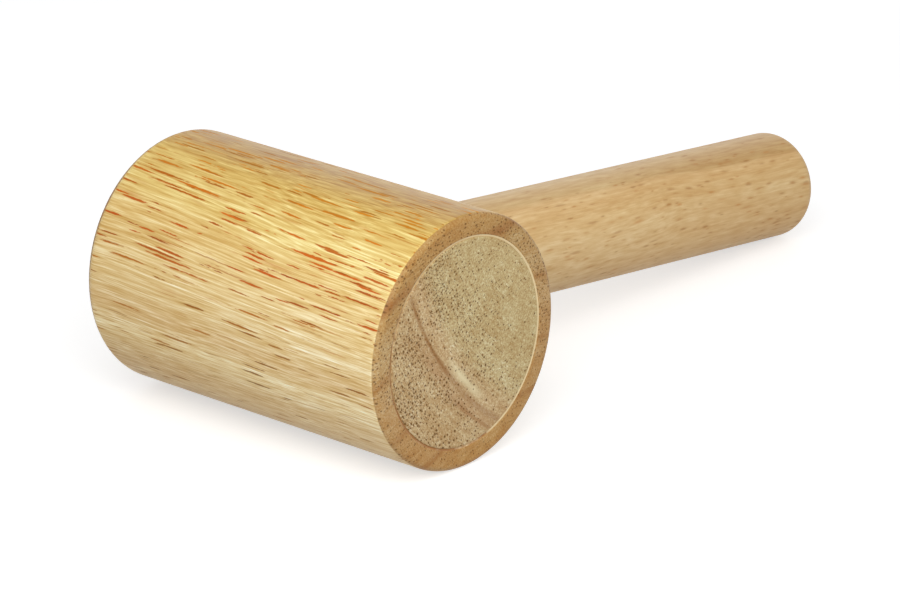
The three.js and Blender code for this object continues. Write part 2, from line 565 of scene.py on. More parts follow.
class WoodNodes:
    """Writes a wood finish as nodes.

    They work in the wood's own space, in millimetres: along the grain, round the year's growth and out
    from the tree's pith. A slow noise bends that space, as real fibres wander, and a fine one makes the
    edges of its marks ragged. The mean is every noise's own. The streaks' noise is its scale, detail and
    roughness.

    A mark's width is its population's, times the first share at random and the second for all. The halo
    is the stain about an open vessel: its strength, and where it ends and is full, in half widths of the
    vessel. A vessel's shade multiplies its tone, by the first share at random and the second for all. The
    gaps in the rings and the clumps of pores are each a noise's scale and detail, and the levels and the
    results of its smooth step. A ring is whole over the first share of its reach.
    """

    MEAN = (0.5, 0.5, 0.5)
    BEND_DETAIL = 2.0
    SLOW_PER_MM = 0.021
    SLOW_ALONG = 0.6
    RAGGED_PER_MM = 1.7
    RAGGED_ALONG = 0.3
    RAGGED_MM = 0.16
    STREAK_NOISE = (1.0, 3.0, 0.55)
    STREAK_TENTHS = 10
    VESSEL_WIDTHS = (0.9, 0.55)
    PORE_WIDTHS = (0.7, 0.65)
    PORE_CORE = 0.3
    HALO = 0.7
    HALO_ENDS = 1.7
    HALO_FULL = 0.8
    VESSEL_SHADES = (0.5, 0.75)
    END_SPAN_MM = 60.0
    RING_GAPS = (0.16, 1.0, 0.36, 0.56, 0.6, 1.0)
    RING_WHOLE = 0.4
    CLUMPS = (0.13, 2.0, 0.38, 0.62, 0.5, 1.4)
    RELIEF_STRENGTH = 0.3
    RELIEF_MM = 0.06
    DULLER_IN_MARKS = 0.25
    SPECULAR_LEVEL = 0.2

    def __init__(self, finish: WoodFinish, axes: Axes, seed: float) -> None:
        """Measures the spaces that every layer of the finish reads.

        Args:
            finish: The finish to write.
            axes: The piece's middle, with forward along its grain.
            seed: A shift along the grain that keeps two pieces of one wood apart.
        """
        sheet = NodeSheet.of_material(finish.name)
        self.finish = finish
        self.sheet = sheet
        here = sheet.add("TexCoord").outputs
        turn = Matrix((axes.forward, axes.handle, axes.rise))
        shift = -(turn @ Vector(axes.centre)) / MM + Vector((seed, 0, 0))
        placing = {"Location": shift, "Rotation": turn.to_euler(), "Scale": (1 / MM,) * 3}
        still = sheet.add("Mapping", {"Vector": here["Object"], **placing}, vector_type="POINT").outputs[0]
        self.facing = sheet.dot(here["Normal"], tuple(axes.forward))
        place = self.bent(still, self.SLOW_ALONG, self.SLOW_PER_MM, finish.wander_mm)
        self.along, handle, rise = sheet.split(place)
        self.turn = sheet.math("FRACT", sheet.times(sheet.math("ARCTAN2", handle, rise), -0.5 / math.pi))
        self.pith_reach = math.hypot(*finish.pith_mm)
        handle_out, rise_out = (-part / self.pith_reach for part in finish.pith_mm)
        out = sheet.vector("SUBTRACT", sheet.join(0.0, handle, rise), (0, *finish.pith_mm))
        ahead, aside = sheet.dot(out, (0, handle_out, rise_out)), sheet.dot(out, (0, -rise_out, handle_out))
        self.round_mm = sheet.times(sheet.math("ARCTAN2", aside, ahead), self.pith_reach)
        self.radius = sheet.vector("LENGTH", out, output="Value")
        self.wood = sheet.join(self.along, self.round_mm, self.radius)
        self.torn = self.bent(self.wood, self.RAGGED_ALONG, self.RAGGED_PER_MM, self.RAGGED_MM)

    def bent(self, space: Socket, along: float, per_mm: float, reach_mm: float) -> Socket:
        """Bends a space across the grain by a noise.

        Args:
            space: The space, whose first direction is along the grain.
            along: The share of the noise's scale that is left along the grain.
            per_mm: The noise's scale across the grain.
            reach_mm: How far the noise's whole range moves a place, to each side.

        Returns:
            The bent space.
        """
        sheet = self.sheet
        drawn = sheet.vector("MULTIPLY", space, (along, 1, 1))
        noise = sheet.noise(drawn, per_mm, self.BEND_DETAIL, output="Color")
        bend = sheet.vector("SUBTRACT", noise, self.MEAN)
        return sheet.vector("MULTIPLY_ADD", bend, (0, 2 * reach_mm, 2 * reach_mm), space)

    def streaked(self, layers: Sequence[Streaks]) -> Socket:
        """Adds up layers of streaks.

        Each layer is a noise drawn out along the grain. One tenth of noise above its mean counts as the
        layer's strength.

        Args:
            layers: The streaks' sizes and strengths.

        Returns:
            How many steps of stain the wood is darker by.
        """
        sheet = self.sheet
        amount: Input = 0.0
        for layer in layers:
            size = (1 / layer.length_mm, 1 / layer.breadth_mm, 1 / layer.width_mm)
            level = sheet.noise(sheet.vector("MULTIPLY", self.wood, size), *self.STREAK_NOISE)
            swing = self.STREAK_TENTHS * layer.strength
            swung = sheet.math("MULTIPLY_ADD", level, swing, -self.MEAN[0] * swing)
            amount = sheet.math("ADD", amount, swung)
        return amount

    def stained(self, colour: Socket, amount: Socket, stain: Sequence[float]) -> Socket:
        """Darkens a colour by each part of the stain, raised to the amount."""
        shares = (self.sheet.math("POWER", part, amount) for part in stain)
        return self.sheet.mix(1.0, colour, self.sheet.join(*shares), "MULTIPLY")

    def scattered(
        self, layer: Vessels | Pores, place: Socket, dimensions: str, widths: Sequence[float], crowd: Socket
    ) -> tuple[Socket, Socket, Socket, Socket]:
        """Scatters one population of marks, each about a point, and lets a share of them show.

        Args:
            layer: The population.
            place: The place, in cells of one mark each.
            dimensions: Whether it is flat, "2D", or deep, "3D".
            widths: The share of the width that is random, and the share that every mark has.
            crowd: The share of the population that shows here.

        Returns:
            The distance to the nearest mark's point, its half width, how strongly it shows and a number
            random by mark.
        """
        sheet = self.sheet
        distance, (size, chance, hue) = sheet.cells(place, dimensions)
        half = layer.width_mm / 2 / layer.spacing_mm
        edge = sheet.math("MULTIPLY_ADD", size, widths[0] * half, widths[1] * half)
        few = sheet.math("LESS_THAN", chance, sheet.times(crowd, layer.shown))
        return distance, edge, sheet.times(few, layer.strength), hue

    def vessel_mask(self, layer: Vessels, crowd: Socket) -> tuple[Socket, Socket, Socket]:
        """Gives where one population of vessels lies open.

        Each vessel is a long ellipsoid about its point: the distance is measured in space that is drawn
        together along the grain.

        Args:
            layer: The population.
            crowd: The share of it that shows here.

        Returns:
            The mask, from 0 to 1, the same for the stained wood about it, and a number random by vessel.
        """
        sheet = self.sheet
        across = 1 / layer.spacing_mm
        drawn = sheet.vector("MULTIPLY", self.torn, (across / layer.stretch, across, across))
        place = sheet.vector("ADD", drawn, layer.shift)
        distance, edge, shown, hue = self.scattered(layer, place, "3D", self.VESSEL_WIDTHS, crowd)
        core, halo_end, halo_full = (
            sheet.times(edge, share) for share in (1 - layer.softness, self.HALO_ENDS, self.HALO_FULL)
        )
        open_here, about = sheet.step(distance, edge, core), sheet.step(distance, halo_end, halo_full)
        return sheet.times(open_here, shown), sheet.times(about, shown), hue

    def side(self) -> tuple[Socket, Socket]:
        """Paints wood cut along its grain.

        Returns:
            Its colour, and how deep its open vessels are.
        """
        sheet, finish = self.sheet, self.finish
        # The fade adds painted shade: the wood is painted darker where the light falls off along the piece.
        amount = sheet.math("ADD", self.streaked(finish.side_streaks), sheet.step(self.along, *finish.fade))
        crowd = sheet.curve(self.turn, finish.vessel_density)
        masks = [self.vessel_mask(layer, crowd) for layer in finish.vessels]
        for _, about, _ in masks:
            amount = sheet.math("MULTIPLY_ADD", about, self.HALO, amount)
        # Side tones read round the piece: the wood's colour with painted light and shade in it.
        colour = self.stained(sheet.ramp(self.turn, finish.side_tones_and_shade, "LINEAR"), amount, finish.side_stain)
        filled = sheet.ramp(self.turn, finish.vessel_tones, "LINEAR")
        depth: Input = 0.0
        for mask, _, hue in masks:
            level = sheet.math("MULTIPLY_ADD", hue, *self.VESSEL_SHADES)
            tint = sheet.mix(1.0, filled, sheet.join(level, level, level), "MULTIPLY")
            colour = sheet.mix(mask, colour, tint)
            depth = sheet.math("MAXIMUM", depth, mask)
        return colour, depth

    def end(self) -> tuple[Socket, Socket]:
        """Paints wood cut across its grain.

        Returns:
            Its colour, and how deep its pores are.
        """
        sheet, finish = self.sheet, self.finish
        span = self.END_SPAN_MM
        outward = sheet.math("MULTIPLY_ADD", self.radius, 1 / span, 0.5 - self.pith_reach / span)
        amount = self.streaked(finish.end_streaks)
        colour = self.stained(sheet.ramp(outward, finish.end_tones, "EASE"), amount, finish.end_stain)
        whole = sheet.clouds(self.wood, *self.RING_GAPS)
        for ring in finish.rings:
            off = sheet.math("ABSOLUTE", sheet.math("SUBTRACT", self.radius, ring.radius_mm))
            aside = sheet.math("ABSOLUTE", sheet.math("SUBTRACT", self.round_mm, ring.middle_mm))
            near = sheet.times(sheet.step(aside, ring.reach_mm, self.RING_WHOLE * ring.reach_mm), whole)
            line = sheet.times(sheet.step(off, ring.width_mm, 0.0, 0.0, ring.strength), near)
            colour = sheet.mix(line, colour, tone(ring.tone))
        crowd = sheet.times(sheet.curve(outward, finish.pore_density), sheet.clouds(self.wood, *self.CLUMPS))
        start, stop, left = finish.pores_thin_out
        crowd = sheet.times(crowd, sheet.step(self.round_mm, start, stop, 1.0, left))
        _, torn_round, torn_radius = sheet.split(self.torn)
        depth: Input = 0.0
        for layer in finish.pores:
            across = 1 / layer.spacing_mm
            flat = sheet.join(torn_round, torn_radius, 0.0)
            place = sheet.vector("MULTIPLY_ADD", flat, (across, across, 0), layer.shift)
            distance, edge, shown, _ = self.scattered(layer, place, "2D", self.PORE_WIDTHS, crowd)
            pore = sheet.times(sheet.step(distance, edge, sheet.times(edge, self.PORE_CORE)), shown)
            depth = sheet.math("MAXIMUM", depth, pore)
        return sheet.mix(depth, colour, tone(finish.pore_tone)), depth

    def write(self) -> bpy.types.Material:
        """Joins side and end grain by the way that the surface faces, and lacquers them.

        Returns:
            The material.
        """
        sheet = self.sheet
        side_colour, side_depth = self.side()
        end_colour, end_depth = self.end()
        across = sheet.step(sheet.math("ABSOLUTE", self.facing), *self.finish.end_shows)
        depth = sheet.add("Mix", {0: across, 2: side_depth, 3: end_depth}, data_type="FLOAT").outputs[0]
        rough = self.finish.roughness
        return sheet.surfaced({
            "Base Color": sheet.mix(across, side_colour, end_colour),
            "Roughness": sheet.step(depth, 0.0, 1.0, rough, rough + self.DULLER_IN_MARKS),
            "Normal": sheet.relief(depth, self.RELIEF_STRENGTH, self.RELIEF_MM, inward=True),
            "Specular IOR Level": self.SPECULAR_LEVEL,
        })


@dataclass(frozen=True)
class SteelFinish:
    """Bright steel shot, tumbled against its neighbours until it is finely scuffed.

    The scuffs are a noise's scale, detail and roughness. The grime is a noise's scale and detail, and the
    levels between which it dulls the steel.
    """

    name: str = "tumbled_steel"
    base: str = "C4C6C9"
    dull: str = "8E9094"
    scuffs: tuple[float, float, float] = (900.0, 6.0, 0.7)
    scuff_levels: tuple[float, float] = (0.3, 0.7)
    grime: tuple[float, float, float, float] = (260.0, 3.0, 0.35, 0.75)
    roughness: tuple[float, float] = (0.16, 0.42)
    relief_strength: float = 0.2
    relief_mm: float = 0.02

    def material(self) -> bpy.types.Material:
        """Makes the finish.

        Returns:
            The material.
        """
        sheet = NodeSheet.of_material(self.name)
        place = sheet.add("TexCoord").outputs["Object"]
        scuff = sheet.noise(place, *self.scuffs)
        return sheet.surfaced({
            "Metallic": 1.0,
            "Base Color": sheet.mix(sheet.clouds(place, *self.grime), tone(self.base), tone(self.dull)),
            "Roughness": sheet.step(scuff, *self.scuff_levels, *self.roughness),
            "Normal": sheet.relief(scuff, self.relief_strength, self.relief_mm),
        })


@dataclass(frozen=True)
class GlueFinish:
    """Set wood glue under lacquer: pale, with amber patches and painted shade towards one side."""

    name: str = "set_glue"
    pale: str = "DDC89A"
    # Dark amber: the glue's own amber and painted shade in the seam on the shaded side.
    amber_and_shade: str = "9C682E"
    shaded_side: tuple[float, float, float] = (0.0, -0.8, -0.6)
    amber_and_shade_levels: tuple[float, float] = (0.1, 0.8)
    noise: tuple[float, float] = (420.0, 3.0)
    noise_levels: tuple[float, float] = (0.3, 0.7)
    roughness: tuple[float, float] = (0.3, 0.45)

    def material(self, axes: Axes) -> bpy.types.Material:
        """Makes the finish.

        How far a place is turned to the shaded side, with some noise, gives how dark it is: the glue's own
        amber patches, and painted shade in the seam on that side.

        Args:
            axes: The head's middle.

        Returns:
            The material.
        """
        sheet = NodeSheet.of_material(self.name)
        place = sheet.add("TexCoord").outputs["Object"]
        cloud = sheet.noise(place, *self.noise)
        from_middle = sheet.vector("MULTIPLY", sheet.vector("SUBTRACT", place, tuple(axes.centre)), (0, 1, 1))
        # Painted shade: the more a place is turned towards the shaded side, the darker the glue is painted.
        turned = sheet.dot(sheet.vector("NORMALIZE", from_middle), self.shaded_side)
        level = sheet.math("MULTIPLY_ADD", cloud, 2.0, sheet.math("SUBTRACT", turned, 1.0))
        return sheet.surfaced({
            "Base Color": sheet.mix(sheet.step(level, *self.amber_and_shade_levels), tone(self.pale), tone(self.amber_and_shade)),
            "Roughness": sheet.step(cloud, *self.noise_levels, *self.roughness),
        })


BARREL_WOOD = WoodFinish(
    name="barrel_wood",
    pith_mm=(30.0, -85.0),
    lean=(-0.035, -0.045),
    wander_mm=1.6,
    # Side tones: the wood's colour with painted light and shade, set stop by stop round the barrel, darker
    # gold along its upper side.
    side_tones_and_shade=((0.0, "AB8030"), (0.03, "C39B4C"), (0.07, "DCBA66"), (0.1, "E3C476"), (0.13, "EFD88F"),
                (0.16, "E1C07A"), (0.26, "E8CE98"), (0.285, "DBB87D"), (0.315, "F1D9A3"), (0.35, "DFBF85"),
                (0.55, "DCBE84"), (0.75, "DEC080"), (0.92, "CBA558"), (1.0, "AB8030")),
    side_stain=(0.87, 0.784, 0.63),
    side_streaks=(
        Streaks(3.6, 16.0, 110.0, 0.16),
        Streaks(1.1, 6.0, 90.0, 0.2),
        Streaks(0.3, 0.6, 30.0, 0.58),
        Streaks(0.22, 0.28, 9.0, 0.45),
    ),
    # Fade: painted shade, darker towards the rear end and lighter towards the front.
    fade=(-46.0, 46.0, 0.2, -0.2),
    vessel_tones=((0.0, "B8780E"), (0.06, "C67E12"), (0.14, "BC5A0C"), (0.19, "B04608"), (0.23, "B0681E"),
                  (0.34, "A67438"), (0.6, "A24C10"), (0.85, "B46C0E"), (1.0, "B8780E")),
    vessel_density=((0.0, 0.7), (0.06, 0.85), (0.12, 0.9), (0.17, 0.9), (0.21, 0.6), (0.25, 0.28),
                    (0.36, 0.24), (0.55, 0.6), (0.7, 0.4), (0.85, 0.6), (1.0, 0.7)),
    vessels=(
        Vessels(0.9, 36.0, 0.42, 1.3, 0.96, 0.25, (4.4, 6.2, 3.7)),
        Vessels(0.75, 20.0, 0.38, 0.95, 0.94, 0.25, (7.3, 3.1, 5.7)),
        Vessels(0.6, 60.0, 0.25, 2.4, 0.5, 0.5, (2.9, 8.3, 1.7)),
        Vessels(1.6, 14.0, 0.9, 0.9, 0.28, 0.9, (1.3, 2.6, 8.1)),
    ),
    end_tones=((0.0, "AC8044"), (0.25, "AF8752"), (0.5, "B28D5B"), (0.77, "B49361"), (0.88, "AC864F"),
               (1.0, "AC8249")),
    end_stain=(0.9, 0.81, 0.68),
    end_streaks=(
        Streaks(5.0, 9.0, 400.0, 0.35),
        Streaks(0.9, 5.0, 400.0, 0.35),
        Streaks(0.45, 0.45, 400.0, 0.6),
        Streaks(0.22, 0.22, 400.0, 0.5),
    ),
    pore_density=((0.0, 0.25), (0.3, 0.25), (0.45, 0.5), (0.65, 0.6), (0.78, 0.9), (0.9, 0.55), (1.0, 0.5)),
    pore_tone="5F3C1A",
    pores=(Pores(0.9, 0.56, 1.0, 0.8, (3.0, 1.0, 0.0)), Pores(0.55, 0.34, 0.6, 0.6, (5.0, 9.0, 0.0))),
    pores_thin_out=(0.0, 90.0, 0.9),
    rings=(
        GrowthRing(72.0, 1.6, 0.5, "8F5A26"),
        GrowthRing(84.0, 1.2, 0.4, "8F5A26"),
        GrowthRing(99.0, 1.6, 0.5, "95602A"),
        GrowthRing(114.0, 2.4, 0.7, "8C5320"),
    ),
    roughness=0.42,
)

CAP_WOOD = WoodFinish(
    name="cap_wood",
    pith_mm=(45.8, 44.8),
    wander_mm=1.2,
    side_tones_and_shade=((0.0, "CDB081"), (0.5, "C6A878"), (1.0, "CDB081")),
    side_stain=(0.88, 0.8, 0.7),
    side_streaks=(Streaks(0.4, 0.5, 12.0, 0.6),),
    vessel_tones=((0.0, "8A5A30"), (1.0, "8A5A30")),
    vessel_density=((0.0, 1.0), (1.0, 1.0)),
    vessels=(Vessels(1.2, 14.0, 0.45, 0.6, 0.8, 0.5, (0.0, 0.0, 0.0)),),
    end_tones=((0.1, "BAA272"), (0.3, "BAA475"), (0.5, "BBA577"), (0.6, "BC9F74"), (0.66, "B89C71"),
               (0.8, "B99D71"), (1.0, "B5996F")),
    end_stain=(0.89, 0.825, 0.745),
    end_streaks=(
        Streaks(6.0, 9.0, 400.0, 0.4),
        Streaks(0.8, 5.0, 400.0, 0.35),
        Streaks(0.5, 0.6, 400.0, 0.85),
        Streaks(0.25, 0.25, 400.0, 0.75),
    ),
    pore_density=((0.0, 0.12), (0.33, 0.2), (0.42, 0.5), (0.48, 0.75), (0.57, 0.5), (0.61, 0.2), (0.68, 0.6),
                  (0.76, 0.85), (1.0, 0.85)),
    pore_tone="5C3811",
    pores=(Pores(0.9, 0.62, 1.0, 0.9, (3.0, 1.0, 0.0)), Pores(0.5, 0.34, 0.8, 0.65, (5.0, 9.0, 0.0))),
    pores_thin_out=(-4.0, 20.0, 0.3),
    rings=(
        GrowthRing(74.4, 2.4, 0.5, "B08A62", 6.0, 22.0),
        GrowthRing(70.2, 1.8, 0.85, "DDD0A8", 6.0, 9.5),
        GrowthRing(72.3, 0.9, 0.9, "8F6436", -9.0, 19.0),
        GrowthRing(72.5, 1.4, 0.55, "98704A", 11.0, 19.0),
        GrowthRing(75.2, 0.9, 0.6, "96693C", 14.0, 12.0),
    ),
    roughness=0.55,
)

HANDLE_WOOD = WoodFinish(
    name="handle_wood",
    pith_mm=(-40.0, 70.0),
    lean=(0.03, 0.04),
    wander_mm=4.0,
    # Side tones: the wood's colour with painted light and shade, set stop by stop round the dowel.
    side_tones_and_shade=((0.0, "DABC8A"), (0.06, "D8B885"), (0.2, "DAB680"), (0.3, "DDBB83"), (0.5, "D3B17A"),
                (0.78, "C8A46C"), (0.81, "D8B47E"), (0.85, "DAB781"), (0.89, "D5B27C"), (0.94, "D4B17B"),
                (1.0, "DABC8A")),
    side_stain=(0.92, 0.86, 0.78),
    side_streaks=(
        Streaks(2.4, 7.0, 45.0, 0.35),
        Streaks(0.9, 1.3, 6.0, 0.4),
        Streaks(0.3, 0.35, 8.0, 0.3),
    ),
    # Fade: painted shade, darker towards the handle's free end.
    fade=(80.0, 170.0, 0.0, 0.7),
    vessel_tones=((0.0, "B2763A"), (0.5, "A86C34"), (1.0, "B2763A")),
    vessel_density=((0.0, 1.0), (0.5, 0.8), (1.0, 1.0)),
    vessels=(
        Vessels(1.1, 4.0, 0.7, 0.6, 0.5, 0.8, (1.0, 4.0, 2.0)),
        Vessels(1.5, 5.5, 0.8, 0.5, 0.45, 0.8, (5.0, 1.0, 7.0)),
    ),
    end_tones=((0.0, "BE9C6C"), (0.5, "C6A678"), (1.0, "CFB288")),
    end_stain=(0.9, 0.84, 0.76),
    end_streaks=(Streaks(5.0, 9.0, 400.0, 0.4), Streaks(0.45, 0.45, 400.0, 0.5)),
    pore_density=((0.0, 0.5), (1.0, 0.6)),
    pore_tone="7A5731",
    pores=(Pores(0.8, 0.4, 0.9, 0.7, (3.0, 1.0, 0.0)),),
    pores_thin_out=(0.0, 90.0, 0.8),
    rings=(GrowthRing(75.0, 1.2, 0.5, "A0743F"), GrowthRing(84.0, 1.2, 0.5, "A0743F")),
    end_shows=(0.45, 0.98),
    roughness=0.46,
)


def dress(
    piece: bpy.types.Object, node: str | None, body: str, material: bpy.types.Material
) -> bpy.types.Object:
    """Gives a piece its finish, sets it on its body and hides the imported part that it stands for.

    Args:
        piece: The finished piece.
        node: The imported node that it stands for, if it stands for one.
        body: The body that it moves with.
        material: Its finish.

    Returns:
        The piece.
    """
    piece.data.materials.append(material)
    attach(piece, body)
    if node:
        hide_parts(node)
    LOG.info("%s: %d faces, rides on %s", piece.name, len(piece.data.polygons), body)
    return piece


@dataclass
class HeadShell:
    """The turned barrel: a bored tube with a rebate in each mouth and a round socket in its side.

    Its turned grid leaves two windows open round the socket, one in the outside and one in the chamber's
    wall. Their rims have as many points as each other, so that the socket's lining can join them.
    """

    axes: Axes
    chamber_radius: float = 22.5 * MM
    mouth_radius: float = 24.8 * MM
    shoulder_at: float = 37.7 * MM
    front_rounding: float = 1.5 * MM
    rear_rounding: float = 3.0 * MM
    mouth_ease: float = 0.5 * MM
    socket_radius: float = 13.55 * MM
    socket_ease: float = 0.4 * MM
    socket_set_back: float = 2.0 * MM
    window_half: float = 18.0 * MM
    turns: int = 288
    outer_window_turns: int = 27
    outer_window_rows: int = 36
    inner_window_turns: int = 34
    patch_rings: int = 6
    ease_rings: int = 4
    tunnel_rings: int = 8

    def __post_init__(self) -> None:
        """Reads the barrel's radius and half its length, and sizes the inner window to match the outer."""
        low, high = node_box("head_shell")
        self.radius = (high[2] - low[2]) / 2
        self.half = (high[0] - low[0]) / 2
        wider = self.inner_window_turns - self.outer_window_turns
        self.inner_window_rows = self.outer_window_rows - 2 * wider

    def profile(self) -> tuple[np.ndarray, int, int]:
        """Draws the barrel's closed profile.

        Returns:
            Its points, and the rows at which the outer and the inner window start.
        """
        outside, half, mouth, ease = self.radius, self.half, self.mouth_radius, self.mouth_ease
        chamber, shoulder = self.chamber_radius, self.shoulder_at
        back, front = -self.socket_set_back - self.window_half, self.window_half - self.socket_set_back
        to_outer = [Corner(-half, outside, 5, self.rear_rounding, 10), Corner(back, outside, 24)]
        to_inner = [
            Corner(front, outside, self.outer_window_rows),
            Corner(half, outside, 28, self.front_rounding, 8),
            Corner(half, mouth, 6, ease, 4),
            Corner(shoulder, mouth, 8),
            Corner(shoulder, chamber, 3),
            Corner(front, chamber, 14),
        ]
        to_start = [
            Corner(back, chamber, self.inner_window_rows),
            Corner(-shoulder, chamber, 12),
            Corner(-shoulder, mouth, 3),
            Corner(-half, mouth, 8, ease, 4),
        ]
        points = outline((-half, mouth + ease), to_outer + to_inner + to_start, closed=True)
        rows = [sum(corner.steps + corner.rounding_steps for corner in part) for part in (to_outer, to_inner)]
        return points, rows[0], sum(rows)

    def window(self, grid: np.ndarray, top: int, rows: int, turns: int, flip: bool) -> np.ndarray:
        """Gives the rim of a window in a wall, as distances from the socket's axis.

        Args:
            grid: The turned wall's points.
            top: The row at which the window starts.
            rows: How many rows it spans.
            turns: How many columns it spans to each side of the handle's direction.
            flip: Whether the rows run backwards along the head.

        Returns:
            For each point of the rim, its distances along the head and along the rise.
        """
        left, right = self.turns // 2 - turns, self.turns // 2 + turns
        first, last, way = (top + rows, top, -1) if flip else (top, top + rows, 1)
        down, across = np.arange(first, last, way), np.arange(left, right)
        row = [np.full_like(across, first), down, np.full_like(across, last), down[::-1] + way]
        column = [across, np.full_like(down, right), across[::-1] + 1, np.full_like(down, left)]
        offset = grid[np.concatenate(row), np.concatenate(column)] - self.axes.centre
        offset += self.socket_set_back * self.axes.forward
        return np.stack([offset @ self.axes.forward, offset @ self.axes.rise], axis=1)

    def on_wall(self, flat: np.ndarray, wall: float, depth: float | np.ndarray = 0.0) -> np.ndarray:
        """Lifts distances from the socket's axis onto a round wall of the head.

        The height along the handle is the square root of the wall's radius squared less the distance
        along the rise squared, less the depth.

        Args:
            flat: Distances along the head and along the rise.
            wall: The wall's radius.
            depth: How far below the wall the points lie.

        Returns:
            The points.
        """
        height = np.sqrt(wall ** 2 - flat[..., 1] ** 2) - depth
        return self.axes.place(flat[..., 0] - self.socket_set_back, height, flat[..., 1])

    def circle(self, radius: float | np.ndarray, angle: np.ndarray) -> np.ndarray:
        """Gives distances on a circle about the socket's axis."""
        return np.stack([radius * np.cos(angle), radius * np.sin(angle)], axis=-1)

    def socket(self, patches: Patchwork, outer_rim: np.ndarray, inner_rim: np.ndarray) -> None:
        """Fills the windows round the socket and lines the socket between them.

        Between a window's rim and the socket's circle the surface runs along straight lines seen down
        the handle. The socket's edge is a curve from the wall to the lining, drawn towards their corner.

        Args:
            patches: Where the surfaces go.
            outer_rim: The window in the barrel's outside.
            inner_rim: The window in the chamber's wall.
        """
        outer_angle, inner_angle = (np.arctan2(rim[:, 1], rim[:, 0]) for rim in (outer_rim, inner_rim))
        bored, eased = self.socket_radius, self.socket_radius + self.socket_ease
        share = np.linspace(0, 1, self.patch_rings + 1)[:, None, None]
        for rim, angle, wall, radius in (
            (outer_rim, outer_angle, self.radius, eased),
            (inner_rim, inner_angle, self.chamber_radius, bored),
        ):
            patches.grid(self.on_wall((1 - share) * self.circle(radius, angle) + share * rim, wall))
        bend = np.linspace(0, 1, self.ease_rings + 1)[:, None, None]
        edge = self.on_wall(self.circle(eased, outer_angle), self.radius)
        corner = self.on_wall(self.circle(bored, outer_angle), self.radius)
        below = self.on_wall(self.circle(bored, outer_angle), self.radius, self.socket_ease)
        patches.grid((1 - bend) ** 2 * edge + 2 * bend * (1 - bend) * corner + bend ** 2 * below)
        down = np.linspace(0, 1, self.tunnel_rings + 1)[:, None]
        twist = (inner_angle - outer_angle + math.pi) % (2 * math.pi) - math.pi
        flat = self.circle(bored, outer_angle + down * twist)
        top = np.sqrt(self.radius ** 2 - flat[..., 1] ** 2) - self.socket_ease
        bottom = np.sqrt(self.chamber_radius ** 2 - flat[..., 1] ** 2)
        height = (1 - down) * top + down * bottom
        patches.grid(self.axes.place(flat[..., 0] - self.socket_set_back, height, flat[..., 1]))

    def build(self, finish: WoodFinish) -> bpy.types.Object:
        """Makes the barrel and dresses it.

        Args:
            finish: Its wood.

        Returns:
            The piece.
        """
        profile, outer_start, inner_start = self.profile()
        grid = self.axes.turned(profile, self.turns)
        outer = (outer_start, self.outer_window_rows, self.outer_window_turns)
        inner = (inner_start, self.inner_window_rows, self.inner_window_turns)
        keep = np.ones(grid.shape[:2], bool)
        middle = self.turns // 2
        for start, rows, turns in (outer, inner):
            keep[start:start + rows, middle - turns:middle + turns] = False
        patches = Patchwork()
        patches.grid(grid, True, keep)
        self.socket(patches, self.window(grid, *outer, False), self.window(grid, *inner, True))
        piece = patches.piece("turned_barrel")
        return dress(piece, "head_shell", WOOD_BODY, finish.material(self.axes, 0.0))


class Mouth(Enum):
    """Which mouth of the head a disc closes: its node, the way that it faces, and its grain's roll."""

    FRONT = ("front_cap", 1.0, 0.0)
    REAR = ("rear_cap", -1.0, 130.0)


@dataclass
class EndCap:
    """A round disc of end grain, let into one mouth of the head."""

    axes: Axes
    mouth: Mouth
    edge_rounding: float = 0.3 * MM
    back_rounding: float = 0.8 * MM
    turns: int = 256
    wood_shift: float = 40.0

    def build(self, finish: WoodFinish) -> bpy.types.Object:
        """Makes the disc and dresses it.

        Args:
            finish: Its wood.

        Returns:
            The piece.
        """
        node, way, roll = self.mouth.value
        low, high = node_box(node)
        radius = (high[2] - low[2]) / 2
        inner, outer = sorted((abs(low[0]), abs(high[0])))
        profile = outline((inner, 0.0), (
            Corner(inner, radius, 20, self.back_rounding, 5),
            Corner(outer, radius, 8, self.edge_rounding, 8),
            Corner(outer, 0.0, 24),
        ))
        profile[:, 0] *= way
        disc = self.axes.turned(profile, self.turns)
        piece = Patchwork.sewn(f"end_grain_disc_{self.mouth.name.lower()}", disc)
        material = finish.material(self.axes.rolled(roll), self.wood_shift * way)
        return dress(piece, node, WOOD_BODY, material)


